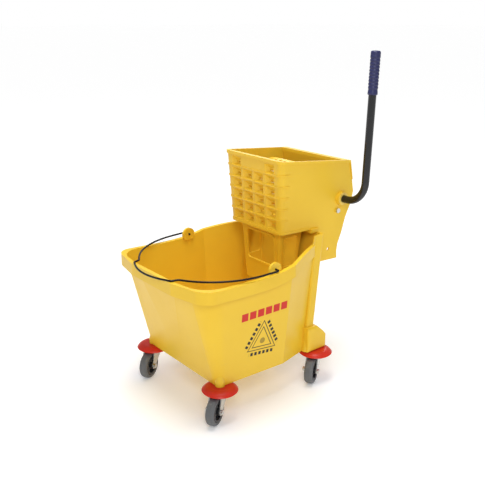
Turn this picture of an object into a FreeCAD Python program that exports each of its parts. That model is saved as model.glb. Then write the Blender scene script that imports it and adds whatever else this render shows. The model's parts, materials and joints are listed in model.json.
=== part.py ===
"""Mop bucket on four casters with a side-press wringer.

The frame has +Z up, the floor at Z = 0 and the origin midway between the four
caster stems.  The front of the bucket faces -Y, the wringer stands at the +Y end
and its lever is on the +X side.  All sizes are millimetres.
"""
import FreeCAD, Part
import math
import os

V = FreeCAD.Vector
X_AXIS = V(1, 0, 0)
Z_AXIS = V(0, 0, 1)

# ---------------------------------------------------------------- driving sizes
# bucket
BUCKET_LENGTH_TOP = 459.0        # front wall to rear wall at the rim, outside
BUCKET_WIDTH_TOP = 398.0         # outside the walls at the rim
RIM_FRONT_Z = 379.0              # top of the rim at the front
REAR_RISE = 48.0                 # rear wall, where the wringer sits, above the front rim
WALL = 4.0
WALL_CORNER = 70.0               # front corners of the wall at the rim
RIM_CORNER = 36.0                # front corners of the rim
FOOT_CORNER = 22.0               # front corners of the wall at the floor
FRONT_BOW = 22.0                 # front wall's middle ahead of its corners
SIDE_DRAFT = 34.0                # how far each side wall leans in to the floor
SKIRT_DROP = 33.0                # height of the turned-down rim
SKIRT_REACH = 8.0                # how far the rim stands out from the wall
SKIRT_WALL = 3.5
PINCH = 48.0                     # how far the side walls step in behind the crease
POST_WIDTH = 54.0                # post at each rear corner, across
EAR_RADIUS = 20.0                # round ear that carries the bail
EAR_THICKNESS = 7.0
SOCKET_RADIUS = 13.0             # front caster socket inside the bucket
SOCKET_DEPTH = 37.0              # how far a stem reaches into the bucket
SOCKET_STRAIGHT = 12.0           # straight part of a socket, below its cone

# casters
STEM_INSET_X = 39.0              # stem inside the side wall's rim line
STEM_INSET_Y = 57.5              # half the top length less half the wheelbase
REAR_OVERHANG = 25.0             # rear wall behind the rear stems
WHEEL_RADIUS = 38.0
TYRE_CLEARANCE = 18.0            # underside of the bucket above the tops of the tyres
TYRE_WIDTH = 25.0
TYRE_DEPTH = 11.0                # rubber from tread to hub
CASTER_TRAIL = 34.0              # wheel axle behind the swivel axis
CASTER_HEADING = 29.0            # degrees each fork is turned about its stem
STEM_RADIUS = 5.5
AXLE_RADIUS = 4.0
BUMPER_RADIUS = 48.0
FORK_THICKNESS = 3.0
RACE_RADIUS = 21.0
RACE_THICKNESS = 2.5
NUT_WIDTH = 13.0                 # every nut and bolt head, across its flats

# fits
RUNNING_FIT = 0.08               # radial clearance of every turning fit
PRESSED_FIT = 0.03               # radial clearance of every fixed fit
SIDE_GAP = 0.3                   # gap between faces that pass each other

# wringer
WRINGER_FRONT_WIDTH = 237.0      # outside, at the top of the front wall
WRINGER_REAR_WIDTH = 264.0       # outside, at the rear edge
WRINGER_HEIGHT = 205.5           # underside of the box to the top of its front wall
WRINGER_LEAN = 13.5              # front wall's top ahead of its foot
WRINGER_WALL = 4.0
WRINGER_FLOOR = 5.0
BOX_LIFT = 9.0                   # underside of the box above the bucket's rear wall
GRID_COLUMNS = 4
GRID_ROWS = 6
GRID_DEPTH = 10.0
GRID_RIB = 4.0
BAND_REACH = 3.0                 # rim band outside the box
RIB_REACH = 2.2                  # lip and ribs outside the box
PLATE_SIDE_GAP = 20.0            # press plate to the inside of each side plate at rest
PLATE_THICKNESS = 26.0
PLATE_HEIGHT = 156.0
BASKET_WIDTH = 168.0
BASKET_FRONT_TO_REAR = 90.0
BASKET_DEPTH = 170.0
BASKET_WALL = 3.5
STOP_PAD = 9.0                   # thickness of the pad under each stop bolt

# lever and gears
TUBE_RADIUS = 10.5
TUBE_WALL = 2.0
BEND_RADIUS = 60.0
LEVER_REACH = 211.0              # centre of the upright stretch off the centre plane
LEVER_LENGTH = 406.0             # shaft to the top of the grip
LEVER_LEAN = 2.0                 # degrees the open lever leans back
GRIP_LENGTH = 112.0
GRIP_WALL = 3.0
GEAR_MODULE = 4.0
GEAR_TEETH = 20
GEAR_WIDTH = 14.0
GEAR_BACKLASH = 0.5
LEVER_RANGE = 95.0               # degrees of pull
PIN_RADIUS = 2.5
SPRING_LENGTH = 14.0
BOLT_RADIUS = 4.0

# bail handle
BAIL_RADIUS = 2.6
BAIL_PIVOT_FORWARD = 215.0       # rear wall to the bail's pivots
BAIL_OVERHANG = 17.5             # how far the resting wire clears the front rim
BAIL_DROOP = 1.1                 # degrees the resting wire slopes to the front rim

# ---------------------------------------------------------------- derived sizes
BUCKET_FLOOR_Z = 2 * WHEEL_RADIUS + TYRE_CLEARANCE
HALF_TOP = BUCKET_WIDTH_TOP / 2
HALF_TRACK = HALF_TOP - STEM_INSET_X
HALF_BASE = BUCKET_LENGTH_TOP / 2 - STEM_INSET_Y
REAR_TOP_Y = HALF_BASE + REAR_OVERHANG
FRONT_TOP_Y = REAR_TOP_Y - BUCKET_LENGTH_TOP
REAR_RIM_Z = RIM_FRONT_Z + REAR_RISE
BUMPER_TOP_Z = BUCKET_FLOOR_Z - 0.5

WRINGER_BASE_Z = REAR_RIM_Z + BOX_LIFT
WRINGER_TOP_Z = WRINGER_BASE_Z + WRINGER_HEIGHT
WRINGER_FRONT_Y = REAR_TOP_Y - 132.5
WRINGER_REAR_Y = REAR_TOP_Y + 139.0
HOOK_Y = REAR_TOP_Y + 10.5
GRID_HALF_WIDTH = WRINGER_FRONT_WIDTH / 2 - 25.5
PLATE_WIDTH = WRINGER_FRONT_WIDTH + 13 - 2 * PLATE_SIDE_GAP
BUSHING_RADIUS = TUBE_RADIUS + 3.5
PLATE_REST_Y = REAR_TOP_Y + 16.0
SHAFT_Y = REAR_TOP_Y + 91.0
SHAFT_Z = WRINGER_BASE_Z + 75.0
STOP_Y = SHAFT_Y - 12.0
STOP_Z = SHAFT_Z - 34.0
SIDE_PLATE_X = WRINGER_REAR_WIDTH / 2 - 12.0
LEVER_TOP_Z = SHAFT_Z + LEVER_LENGTH
GRIP_RADIUS = TUBE_RADIUS + GRIP_WALL
GEAR_X = WRINGER_FRONT_WIDTH / 2 - 46.5
GEAR_RADIUS = GEAR_MODULE * GEAR_TEETH / 2
STROKE = GEAR_RADIUS * math.radians(LEVER_RANGE)

BAIL_PIVOT_Y = REAR_TOP_Y - BAIL_PIVOT_FORWARD
BAIL_PIVOT_Z = RIM_FRONT_Z + 9.0
BAIL_REACH = BAIL_PIVOT_Y - FRONT_TOP_Y + SKIRT_REACH + BAIL_OVERHANG

PARTS = {}


# ---------------------------------------------------------------- shape helpers
def box(x0, x1, y0, y1, z0, z1):
    """Block between two corners."""
    return Part.makeBox(x1 - x0, y1 - y0, z1 - z0, V(x0, y0, z0))


def rod(start, direction, radius, length):
    """Solid cylinder from a start point."""
    return Part.makeCylinder(radius, length, start, direction)


def ring(start, direction, outer, inner, length):
    """Hollow cylinder from a start point."""
    return rod(start, direction, outer, length).cut(rod(start, direction, inner, length))


def hexagon(start, direction, across_flats, length):
    """Hexagonal prism along an axis."""
    radius = across_flats / math.sqrt(3)
    corners = [V(radius * math.cos(math.radians(60 * i)), radius * math.sin(math.radians(60 * i)), 0)
               for i in range(7)]
    prism = Part.Face(Part.makePolygon(corners)).extrude(V(0, 0, length))
    prism.Placement = FreeCAD.Placement(start, FreeCAD.Rotation(Z_AXIS, direction))
    return prism


def mirrored(shape):
    """The same shape on the other side of the centre plane."""
    return shape.mirror(V(0, 0, 0), X_AXIS)


def both_sides(shape):
    """A shape and its mirror image as one compound."""
    return Part.makeCompound([shape, mirrored(shape)])


def turned(shape, centre, axis, degrees):
    """Copy of a shape turned about an axis."""
    copy = shape.copy()
    copy.rotate(centre, axis, degrees)
    return copy


def corner_arc(previous, corner, following, z):
    """Start, middle and end of the arc that rounds one (x, y, radius) corner at a height."""
    radius = corner[2]
    point = V(corner[0], corner[1], z)
    before = V(previous[0], previous[1], z) - point
    after = V(following[0], following[1], z) - point
    before.normalize()
    after.normalize()
    half = before.getAngle(after) / 2
    run = radius / math.tan(half)
    bisector = before + after
    bisector.normalize()
    middle = point + bisector * (radius / math.sin(half) - radius)
    return point + before * run, middle, point + after * run


def outline_wire(corners, z):
    """Closed level outline through (x, y, radius) corners, each rounded by its radius."""
    count = len(corners)
    arcs = [corner_arc(corners[i - 1], corners[i], corners[(i + 1) % count], z) for i in range(count)]
    edges = []
    for i in range(count):
        edges.append(Part.Arc(*arcs[i]).toShape())
        edges.append(Part.makeLine(arcs[i][2], arcs[(i + 1) % count][0]))
    return Part.Wire(edges)


def open_path(corners, z):
    """Level wire through corners, rounded at each corner but the two ends."""
    edges = []
    here = V(corners[0][0], corners[0][1], z)
    for i in range(1, len(corners) - 1):
        begin, middle, end = corner_arc(corners[i - 1], corners[i], corners[i + 1], z)
        edges.append(Part.makeLine(here, begin))
        edges.append(Part.Arc(begin, middle, end).toShape())
        here = end
    edges.append(Part.makeLine(here, V(corners[-1][0], corners[-1][1], z)))
    return Part.Wire(edges)


def grown(corners, reach):
    """Outline corners moved outward by a reach, with their radii grown to match."""
    result = []
    count = len(corners)
    for i in range(count):
        x, y, radius = corners[i]
        back = V(x - corners[i - 1][0], y - corners[i - 1][1], 0)
        ahead = V(corners[(i + 1) % count][0] - x, corners[(i + 1) % count][1] - y, 0)
        back.normalize()
        ahead.normalize()
        outward_back = V(back.y, -back.x, 0)
        outward_ahead = V(ahead.y, -ahead.x, 0)
        total = outward_back + outward_ahead
        shift = total * (reach / (1 + outward_back.dot(outward_ahead)))
        result.append((x + shift.x, y + shift.y, max(radius + reach, 0.5)))
    return result


def between(low, high, z_low, z_high, z):
    """Outline corners at a height on the straight lines through two levels."""
    share = (z - z_low) / (z_high - z_low)
    return [(a[0] + (b[0] - a[0]) * share, a[1] + (b[1] - a[1]) * share, a[2] + (b[2] - a[2]) * share)
            for a, b in zip(low, high)]


def symmetric(half):
    """Full outline, counter-clockwise, from its +X half listed front to rear."""
    return half + [(-x, y, radius) for x, y, radius in reversed(half)]


def loft(low, high, z_low, z_high):
    """Solid between two level outlines."""
    return Part.makeLoft([outline_wire(low, z_low), outline_wire(high, z_high)], True, True)


def side_prism(points, half_width):
    """Prism across X from a (y, z) profile."""
    corners = [V(-half_width, y, z) for y, z in points]
    return Part.Face(Part.makePolygon(corners + corners[:1])).extrude(V(2 * half_width, 0, 0))


def pipe(path, radius):
    """Round bar swept along a smooth wire."""
    first = path.Edges[0]
    start = first.valueAt(first.FirstParameter)
    circle = Part.Wire(Part.makeCircle(radius, start, first.tangentAt(first.FirstParameter)))
    return path.makePipeShell([circle], True, True)


# ---------------------------------------------------------------- bucket
def rim_corners():
    """Outside of the bucket wall at the height of the front rim."""
    return symmetric([
        (HALF_TOP - 107, FRONT_TOP_Y, 12.0),
        (HALF_TOP, FRONT_TOP_Y + FRONT_BOW, WALL_CORNER),
        (HALF_TOP + 1, BAIL_PIVOT_Y + 58, 12.0),
        (HALF_TOP - PINCH - 3, REAR_TOP_Y - 33, 12.0),
        (HALF_TOP - PINCH - 8, REAR_TOP_Y, 14.0),
    ])


def tub_corners(z, reach=0.0):
    """Outside of the bucket wall at a height, moved outward by a reach."""
    low_half = HALF_TOP - SIDE_DRAFT
    low = symmetric([
        (8.0, -HALF_BASE - 9.5, 6.0),
        (low_half + 2, -HALF_BASE - 10, FOOT_CORNER),
        (low_half + 9, BAIL_PIVOT_Y + 52, 10.0),
        (low_half - PINCH + 34, REAR_TOP_Y - 69, 10.0),
        (low_half - PINCH + 29, REAR_TOP_Y - 45, 12.0),
    ])
    return grown(between(low, rim_corners(), BUCKET_FLOOR_Z, RIM_FRONT_Z, z), reach)


def tub_block(z_low, z_high, reach=0.0):
    """Solid inside the bucket's outline between two heights."""
    return loft(tub_corners(z_low, reach), tub_corners(z_high, reach), z_low, z_high)


def rim_block(z_low, z_high, reach):
    """Upright block on the rim's own outline, with tighter corners than the wall."""
    corners = [(x, y, RIM_CORNER if radius == WALL_CORNER else radius) for x, y, radius in rim_corners()]
    outline = grown(corners, reach)
    return loft(outline, outline, z_low, z_high)


def under_rim(drop):
    """Everything below the saddle-shaped rim line, lowered by a drop."""
    side = HALF_TOP + 60
    ahead = FRONT_TOP_Y - 40
    behind = REAR_TOP_Y + 60
    rises = [(FRONT_TOP_Y - 38, 1), (FRONT_TOP_Y + 62, 0), (BAIL_PIVOT_Y - 52, -3), (BAIL_PIVOT_Y + 18, 2),
             (REAR_TOP_Y - 152, 11), (REAR_TOP_Y - 107, 20), (REAR_TOP_Y - 67, 25), (REAR_TOP_Y - 37, 27)]
    curve = Part.BSplineCurve()
    curve.interpolate([V(-side, y, RIM_FRONT_Z + rise - drop) for y, rise in rises])
    first = V(-side, rises[0][0], RIM_FRONT_Z + rises[0][1] - drop)
    last = V(-side, rises[-1][0], RIM_FRONT_Z + rises[-1][1] - drop)
    step = V(-side, last.y + 8, REAR_RIM_Z - drop)
    outline = [last, step, V(-side, behind, REAR_RIM_Z - drop), V(-side, behind, 0), V(-side, ahead, 0),
               V(-side, ahead, first.z), first]
    edges = [curve.toShape()] + [Part.makeLine(a, b) for a, b in zip(outline, outline[1:])]
    return Part.Face(Part.Wire(edges)).extrude(V(2 * side, 0, 0))


def caster_places():
    """Name and stem position of each caster."""
    return [("front_right", HALF_TRACK, -HALF_BASE), ("front_left", -HALF_TRACK, -HALF_BASE),
            ("rear_right", HALF_TRACK, HALF_BASE), ("rear_left", -HALF_TRACK, HALF_BASE)]


def rear_post():
    """Post at a rear corner and the rounded foot that holds its caster."""
    inner = HALF_TOP - PINCH - 8
    low_x = HALF_TRACK + 6
    high_x = HALF_TOP - PINCH - 4
    low = [(low_x - POST_WIDTH, HALF_BASE - 46, 4), (low_x, HALF_BASE - 46, 7),
           (low_x, HALF_BASE - 22, 7), (low_x - POST_WIDTH, HALF_BASE - 22, 4)]
    high = [(inner - 43, REAR_TOP_Y - 26, 4), (high_x, REAR_TOP_Y - 26, 7),
            (high_x, REAR_TOP_Y + 8, 7), (inner - 43, REAR_TOP_Y + 8, 4)]
    post = loft(low, high, BUCKET_FLOOR_Z, REAR_RIM_Z)
    heel = HALF_BASE + 29
    base = BUCKET_FLOOR_Z
    profile = [(HALF_BASE - 42, base), (heel, base), (heel, base + 40), (heel - 11, base + 53),
               (HALF_BASE - 6, base + 74), (HALF_BASE - 42, base + 74)]
    outer = HALF_TRACK + 14
    foot = side_prism(profile, HALF_TOP).common(box(HALF_TRACK - 48, outer, 0, 2 * REAR_TOP_Y, 0, REAR_RIM_Z))
    foot = foot.makeFillet(6, [e for e in foot.Edges if abs(e.CenterOfMass.x - outer) < 0.1])
    return post.fuse(foot)


def bucket_tub():
    """One-piece bucket: wall, floor, rolled rim, ears, rear posts and caster sockets."""
    top = REAR_RIM_Z + 20
    body = tub_block(BUCKET_FLOOR_Z, top).common(under_rim(0))

    # rolled rim: a flange and a turned-down skirt that stop at the rear posts
    low = RIM_FRONT_Z - SKIRT_DROP - 20
    band = rim_block(low, top, SKIRT_REACH).common(under_rim(0)).cut(under_rim(SKIRT_DROP))
    channel = rim_block(low - 10, top, SKIRT_REACH - SKIRT_WALL).common(under_rim(SKIRT_WALL))
    ahead_of_posts = box(-2 * HALF_TOP, 2 * HALF_TOP, 2 * FRONT_TOP_Y, REAR_TOP_Y - 39, 0, top)
    body = body.fuse(band.cut(channel).common(ahead_of_posts))
    post = rear_post()
    body = body.fuse([post, mirrored(post)])

    # interior, then the ears and the front sockets that reach into it
    body = body.cut(tub_block(BUCKET_FLOOR_Z + WALL, top + 10, -WALL))
    ear = rod(V(HALF_TOP - 9, BAIL_PIVOT_Y, BAIL_PIVOT_Z - 2), X_AXIS, EAR_RADIUS, EAR_THICKNESS)
    above_rim = box(0, 2 * HALF_TOP, BAIL_PIVOT_Y - 42, BAIL_PIVOT_Y + 48, RIM_FRONT_Z - 9, top)
    ear = ear.common(above_rim)
    base = V(HALF_TRACK, -HALF_BASE, BUCKET_FLOOR_Z)
    socket = rod(base, Z_AXIS, SOCKET_RADIUS, SOCKET_STRAIGHT)
    cone_height = SOCKET_DEPTH + WALL - SOCKET_STRAIGHT
    cap = Part.makeCone(SOCKET_RADIUS, STEM_RADIUS + 1, cone_height, base + V(0, 0, SOCKET_STRAIGHT))
    body = body.fuse([ear, mirrored(ear), socket, mirrored(socket), cap, mirrored(cap)])

    # holes: caster stems, bail pivots
    for _, x, y in caster_places():
        body = body.cut(rod(V(x, y, BUCKET_FLOOR_Z - 1), Z_AXIS, STEM_RADIUS + PRESSED_FIT, SOCKET_DEPTH + 1))
    pivot = rod(V(-2 * HALF_TOP, BAIL_PIVOT_Y, BAIL_PIVOT_Z), X_AXIS, BAIL_RADIUS + RUNNING_FIT, 4 * HALF_TOP)
    return body.cut(pivot).removeSplitter()


def bail_handle():
    """Wire bail: hooked ends, side arcs, two kinks and a bowed front."""
    y = BAIL_PIVOT_Y
    side_x = HALF_TOP + 12
    half = [
        (HALF_TOP - 13, y, 0),
        (side_x, y, 7),
        (side_x - 6, y - 0.59 * BAIL_REACH, 205),
        (side_x - 117, y - BAIL_REACH + 41.5, 5),
        (side_x - 123, y - BAIL_REACH + 23.5, 5),
    ]
    front = (0, y - BAIL_REACH - 15.5, 165)
    other_half = [(-x, corner_y, radius) for x, corner_y, radius in reversed(half)]
    wire = pipe(open_path(half + [front] + other_half, BAIL_PIVOT_Z), BAIL_RADIUS)
    return turned(wire, V(0, y, BAIL_PIVOT_Z), X_AXIS, BAIL_DROOP)


# ---------------------------------------------------------------- casters
def caster_pieces():
    """Every piece of one caster about its stem, trailing to -Y, with the floor at Z = 0."""
    axle_y = -CASTER_TRAIL
    axle_z = WHEEL_RADIUS
    crown_z = 2 * WHEEL_RADIUS + 3
    race_z = crown_z + FORK_THICKNESS + SIDE_GAP
    hub_width = TYRE_WIDTH + 3
    leg_in = hub_width / 2 + 1
    hub_radius = WHEEL_RADIUS - TYRE_DEPTH
    leg_out = leg_in + FORK_THICKNESS

    tyre = ring(V(-TYRE_WIDTH / 2, axle_y, axle_z), X_AXIS, WHEEL_RADIUS, hub_radius, TYRE_WIDTH)
    shoulders = [e for e in tyre.Edges if abs(e.BoundBox.ZLength - 2 * WHEEL_RADIUS) < 0.1]
    tyre = tyre.makeFillet(6, shoulders)

    hub = ring(V(-TYRE_WIDTH / 2 + 1, axle_y, axle_z), X_AXIS, hub_radius, hub_radius - 5, TYRE_WIDTH - 2)
    web = rod(V(-5, axle_y, axle_z), X_AXIS, hub_radius - 4.5, 10)
    barrel = rod(V(-hub_width / 2, axle_y, axle_z), X_AXIS, 9, hub_width)
    hub = hub.fuse([web, barrel])
    for i in range(6):
        spoke_hole = rod(V(-10, axle_y, axle_z + 15.5), X_AXIS, 4, 20)
        hub = hub.cut(turned(spoke_hole, V(0, axle_y, axle_z), X_AXIS, 60 * i))
    hub = hub.cut(rod(V(-30, axle_y, axle_z), X_AXIS, AXLE_RADIUS + RUNNING_FIT, 60)).removeSplitter()

    leg_profile = [(22, crown_z), (24, crown_z + 3), (-26, crown_z + 3), (-30, crown_z - 4),
                   (axle_y - 9, axle_z + 2), (axle_y + 8, axle_z - 2)]
    leg = side_prism(leg_profile, leg_out).common(box(leg_in, leg_out, -60, 40, 20, 100))
    leg = leg.fuse(rod(V(leg_in, axle_y, axle_z), X_AXIS, 9, leg_out - leg_in))
    crown = rod(V(0, 0, crown_z), Z_AXIS, RACE_RADIUS + 3, FORK_THICKNESS)
    bridge = box(-leg_out, leg_out, -22, 20, crown_z, crown_z + FORK_THICKNESS)
    fork = crown.fuse([bridge, leg, mirrored(leg)])
    fork = fork.cut(rod(V(0, 0, crown_z - 5), Z_AXIS, STEM_RADIUS + RUNNING_FIT, 12))
    fork = fork.cut(rod(V(-30, axle_y, axle_z), X_AXIS, AXLE_RADIUS + PRESSED_FIT, 60)).removeSplitter()

    bolt = rod(V(-leg_out - 8, axle_y, axle_z), X_AXIS, AXLE_RADIUS, 2 * leg_out + 8)
    bolt = bolt.fuse(hexagon(V(leg_out, axle_y, axle_z), X_AXIS, NUT_WIDTH, 5))
    nut = hexagon(V(-leg_out - 6.5, axle_y, axle_z), X_AXIS, NUT_WIDTH, 6.5)
    nut = nut.cut(rod(V(-leg_out - 9, axle_y, axle_z), X_AXIS, AXLE_RADIUS + PRESSED_FIT, 12))

    stem = rod(V(0, 0, crown_z - 5), Z_AXIS, STEM_RADIUS, BUCKET_FLOOR_Z + SOCKET_DEPTH - crown_z + 4)
    rivet = rod(V(0, 0, crown_z - 5), Z_AXIS, STEM_RADIUS + 3.5, 5 - SIDE_GAP)
    race = rod(V(0, 0, race_z), Z_AXIS, RACE_RADIUS, RACE_THICKNESS)
    stem = stem.fuse([rivet, race]).removeSplitter()

    seat_z = race_z + RACE_THICKNESS
    bore = STEM_RADIUS + PRESSED_FIT
    profile = [V(bore, 0, seat_z), V(BUMPER_RADIUS - 8, 0, seat_z), V(BUMPER_RADIUS - 5, 0, seat_z - 4),
               V(BUMPER_RADIUS - 2, 0, seat_z - 4), V(BUMPER_RADIUS, 0, seat_z - 2)]
    edges = [Part.makeLine(a, b) for a, b in zip(profile, profile[1:])]
    crest = V(BUMPER_RADIUS / 2, 0, BUMPER_TOP_Z)
    edges.append(Part.Arc(profile[-1], V(BUMPER_RADIUS - 5, 0, seat_z + 3.4), crest).toShape())
    inner_top = V(bore, 0, BUMPER_TOP_Z)
    edges.append(Part.makeLine(crest, inner_top))
    edges.append(Part.makeLine(inner_top, profile[0]))
    bumper = Part.Face(Part.Wire(edges)).revolve(V(0, 0, 0), Z_AXIS, 360)

    return {"caster_tyre": tyre, "caster_hub": hub, "caster_fork": fork, "caster_axle_bolt": bolt,
            "caster_axle_nut": nut, "caster_stem": stem, "bumper_disc": bumper}


def add_casters():
    """Place a caster at each stem, all turned the same way."""
    pieces = caster_pieces()
    for place, x, y in caster_places():
        for name, shape in pieces.items():
            copy = turned(shape, V(0, 0, 0), Z_AXIS, CASTER_HEADING)
            copy.translate(V(x, y, 0))
            PARTS[f"{name}_{place}"] = copy


# ---------------------------------------------------------------- wringer
def housing_corners(z, reach=0.0):
    """Outside of the wringing box at a height, moved outward by a reach."""
    half_front = WRINGER_FRONT_WIDTH / 2
    half_rear = WRINGER_REAR_WIDTH / 2
    rear = WRINGER_REAR_Y
    low = symmetric([(half_front - 10.5, WRINGER_FRONT_Y + WRINGER_LEAN, 16), (half_rear - 5, rear, 1)])
    high = symmetric([(half_front, WRINGER_FRONT_Y, 18), (half_rear, rear, 1)])
    return grown(between(low, high, WRINGER_BASE_Z, WRINGER_TOP_Z, z), reach)


def housing_block(z_low, z_high, reach=0.0):
    """Solid inside the wringing box outline between two heights."""
    return loft(housing_corners(z_low, reach), housing_corners(z_high, reach), z_low, z_high)


def side_x(y, z):
    """Outside of the wringer's right side plate at a point."""
    front, rear = housing_corners(z)[0], housing_corners(z)[1]
    return front[0] + (rear[0] - front[0]) * (y - front[1]) / (rear[1] - front[1])


def front_y(z):
    """Front face of the wringer at a height."""
    return WRINGER_FRONT_Y + WRINGER_LEAN * (WRINGER_TOP_Z - z) / WRINGER_HEIGHT


def housing_profile():
    """Side view of the wringer: sloping top, bent rear edge and the foot behind the bucket."""
    y, z = REAR_TOP_Y, WRINGER_BASE_Z
    foot = REAR_RIM_Z - 95
    return [(WRINGER_FRONT_Y - 25, WRINGER_TOP_Z + 3), (WRINGER_FRONT_Y, WRINGER_TOP_Z),
            (y + 117, WRINGER_TOP_Z - 23.5), (y + 137, z + 90), (y + 130, z + 56), (y + 113, z + 17),
            (y + 101, z - 28), (y + 89, z - 62), (y + 87, z - 84), (y + 89, foot), (HOOK_Y, foot),
            (HOOK_Y, z), (WRINGER_FRONT_Y - 25, z)]


def grid_cells():
    """Centre (x, z) and pitches of the open cells, leaving two at the top for a plain panel."""
    low = WRINGER_BASE_Z + 9
    pitch_x = 2 * GRID_HALF_WIDTH / GRID_COLUMNS
    pitch_z = (WRINGER_TOP_Z - 9 - low) / GRID_ROWS
    cells = []
    for column in range(GRID_COLUMNS):
        for row in range(GRID_ROWS):
            plain = row == GRID_ROWS - 1 and column in (1, 2)
            if not plain:
                cells.append((-GRID_HALF_WIDTH + (column + 0.5) * pitch_x, low + (row + 0.5) * pitch_z))
    return cells, pitch_x, pitch_z


def rectangle(x, y, z, width, height):
    """Upright rectangular wire facing -Y."""
    w, h = width / 2, height / 2
    return Part.makePolygon([V(x - w, y, z - h), V(x + w, y, z - h), V(x + w, y, z + h),
                             V(x - w, y, z + h), V(x - w, y, z - h)])


def wringer_housing():
    """Wringing box with a waffle front, side plates, floor and hooks over the rear wall."""
    wide = WRINGER_REAR_WIDTH
    whole = side_prism(housing_profile(), wide)
    top, base, rear = WRINGER_TOP_Z, WRINGER_BASE_Z, WRINGER_REAR_Y + 10
    body = housing_block(REAR_RIM_Z - 110, top + 10).common(whole)

    # outer bands: top rim, bottom lip, and ribs that wrap round the front corners
    lowered = whole.copy()
    lowered.translate(V(0, 0, -9))
    body = body.fuse(housing_block(top - 80, top + 10, BAND_REACH).common(whole).cut(lowered))
    lip = housing_block(base, base + 7, RIB_REACH)
    body = body.fuse(lip.common(box(-wide, wide, 0, HOOK_Y - 30, base, base + 7)))
    cells, pitch_x, pitch_z = grid_cells()
    for row in range(1, GRID_ROWS):
        z = base + 9 + row * pitch_z
        rib = housing_block(z - GRID_RIB / 2, z + GRID_RIB / 2, RIB_REACH)
        body = body.fuse(rib.common(box(-wide, wide, 0, WRINGER_FRONT_Y + 33, z - 5, z + 5)))

    # chamber behind the thick front wall, open at the top and at the back, under a rear bar
    floor_z = base + WRINGER_FLOOR
    front_wall = GRID_DEPTH + WRINGER_WALL
    chamber = housing_block(floor_z, top + 20, -WRINGER_WALL)
    chamber = chamber.common(side_prism([(front_y(floor_z) + front_wall, floor_z),
                                         (front_y(top + 20) + front_wall, top + 20),
                                         (rear, top + 20), (rear, floor_z)], wide))
    bar_y = REAR_TOP_Y + 93
    bar_z = SHAFT_Z + GEAR_RADIUS + 25
    rear_bar = side_prism([(bar_y, top - 30), (bar_y + 6, bar_z), (rear, bar_z), (rear, top + 20),
                           (bar_y, top + 20)], wide)
    body = body.cut(chamber.cut(rear_bar))
    body = body.cut(box(20 - SIDE_PLATE_X, SIDE_PLATE_X - 20, bar_y + 12, rear, floor_z, bar_z + 23))

    # drain opening in the floor, and the hollow of the hooks behind the bucket's rear wall
    body = body.cut(box(-78, 78, HOOK_Y - 107, HOOK_Y - 27, base - 5, floor_z + 5))
    hollow = housing_block(REAR_RIM_Z - 130, base, -5)
    body = body.cut(hollow.common(box(-wide, wide, HOOK_Y + 5.5, rear, REAR_RIM_Z - 130, base + 4)))
    body = body.cut(box(-90, 90, HOOK_Y + 42, rear, base - 6, floor_z + 5))

    # front grid: wedge-shaped pockets, each with a drain slot low in its back
    for x, z in cells:
        mouth = rectangle(x, front_y(z) - 4, z, pitch_x - GRID_RIB + 3, pitch_z - GRID_RIB + 3)
        back = rectangle(x, front_y(z) + GRID_DEPTH, z - 5, 16, 9)
        body = body.cut(Part.makeLoft([mouth, back], True, True))
        body = body.cut(box(x - 7, x + 7, front_y(z), front_y(z) + 20, z - 8.5, z - 2.5))

    # bosses for the lever shaft, pads for the stop bolts, seats on the bucket's posts
    pad_x = stop_pad_x()
    for side in (-1, 1):
        boss = rod(V(side * SIDE_PLATE_X, SHAFT_Y, SHAFT_Z), X_AXIS * side, 20, 14)
        pad = rod(V(side * (pad_x - STOP_PAD), STOP_Y, STOP_Z), X_AXIS * side, 9, STOP_PAD)
        seat = box(SIDE_PLATE_X - 16, SIDE_PLATE_X + 4, HOOK_Y - 29.5, HOOK_Y, REAR_RIM_Z + SIDE_GAP, base + 2)
        body = body.fuse([boss, pad, seat if side > 0 else mirrored(seat)])
    for y, z, radius in ((SHAFT_Y, SHAFT_Z, BUSHING_RADIUS), (STOP_Y, STOP_Z, BOLT_RADIUS + PRESSED_FIT),
                         (HOOK_Y + 44.5, REAR_RIM_Z - 62, 4.5)):
        body = body.cut(rod(V(-wide, y, z), X_AXIS, radius, 2 * wide))
    return body.removeSplitter()


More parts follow.
